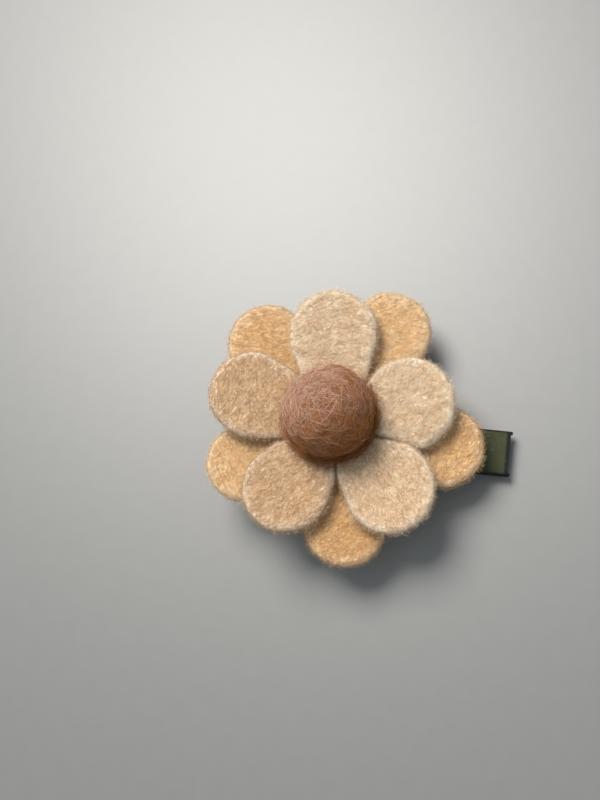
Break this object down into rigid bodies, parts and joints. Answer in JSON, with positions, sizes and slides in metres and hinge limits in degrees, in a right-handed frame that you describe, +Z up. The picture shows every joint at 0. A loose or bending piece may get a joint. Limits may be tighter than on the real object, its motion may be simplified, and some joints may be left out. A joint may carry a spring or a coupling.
{
  "type": "flower hair clip",
  "caption": "Sprung flat metal hair clip with a layered felt flower and a needle-felted wool ball glued on its upper jaw.",
  "frame": {"origin": "bottom centre of the part's box, on the table that it lies on", "axes": "+X towards the clip's nose, +Z up from the table, +Y across the clip"},
  "size_m": [0.052, 0.0492, 0.0263],
  "materials": {
    "ball_wool": "needle-felted wool, tangled fibres, fuzzy",
    "upper_petal_felt": "pressed wool felt, heathered oatmeal, fuzzy cut edges",
    "lower_petal_felt": "pressed wool felt, heathered apricot cream, fuzzy cut edges",
    "backing_felt": "pressed wool felt, matte",
    "hot_melt_glue": "set hot-melt glue, milky",
    "clip_paint": "olive green enamel, satin, thin on the folds",
    "rivet_steel": "plain steel, headed cold",
    "spring_steel": "drawn spring wire"
  },
  "bodies": {
    "flower_body": {"felt_ball": "ball_wool", "backing_disc": "backing_felt", "clip_glue": "hot_melt_glue", "lower_ring_glue": "hot_melt_glue", "upper_ring_glue": "hot_melt_glue", "ball_glue": "hot_melt_glue", "upper_jaw": "clip_paint", "hinge_pin": "rivet_steel", "torsion_spring": "spring_steel", "lower_petal_right": "lower_petal_felt", "lower_petal_top_right": "lower_petal_felt", "lower_petal_top_left": "lower_petal_felt", "lower_petal_lower_left": "lower_petal_felt", "lower_petal_bottom": "lower_petal_felt", "upper_petal_right": "upper_petal_felt", "upper_petal_top": "upper_petal_felt", "upper_petal_left": "upper_petal_felt", "upper_petal_lower_left": "upper_petal_felt", "upper_petal_lower_right": "upper_petal_felt"},
    "lower_jaw_body": {"lower_jaw": "clip_paint"}
  },
  "joints": [
    {"name": "jaw_hinge", "type": "hinge", "parent": "flower_body", "child": "lower_jaw_body", "pos_m": [-0.00511, -0.00148, 0.00373], "axis": [0, 1, 0], "range_deg": [0, 25], "stiffness_Nm_per_rad": 0.05, "springref_deg": -68.75, "deforming": ["torsion_spring"]}
  ]
}
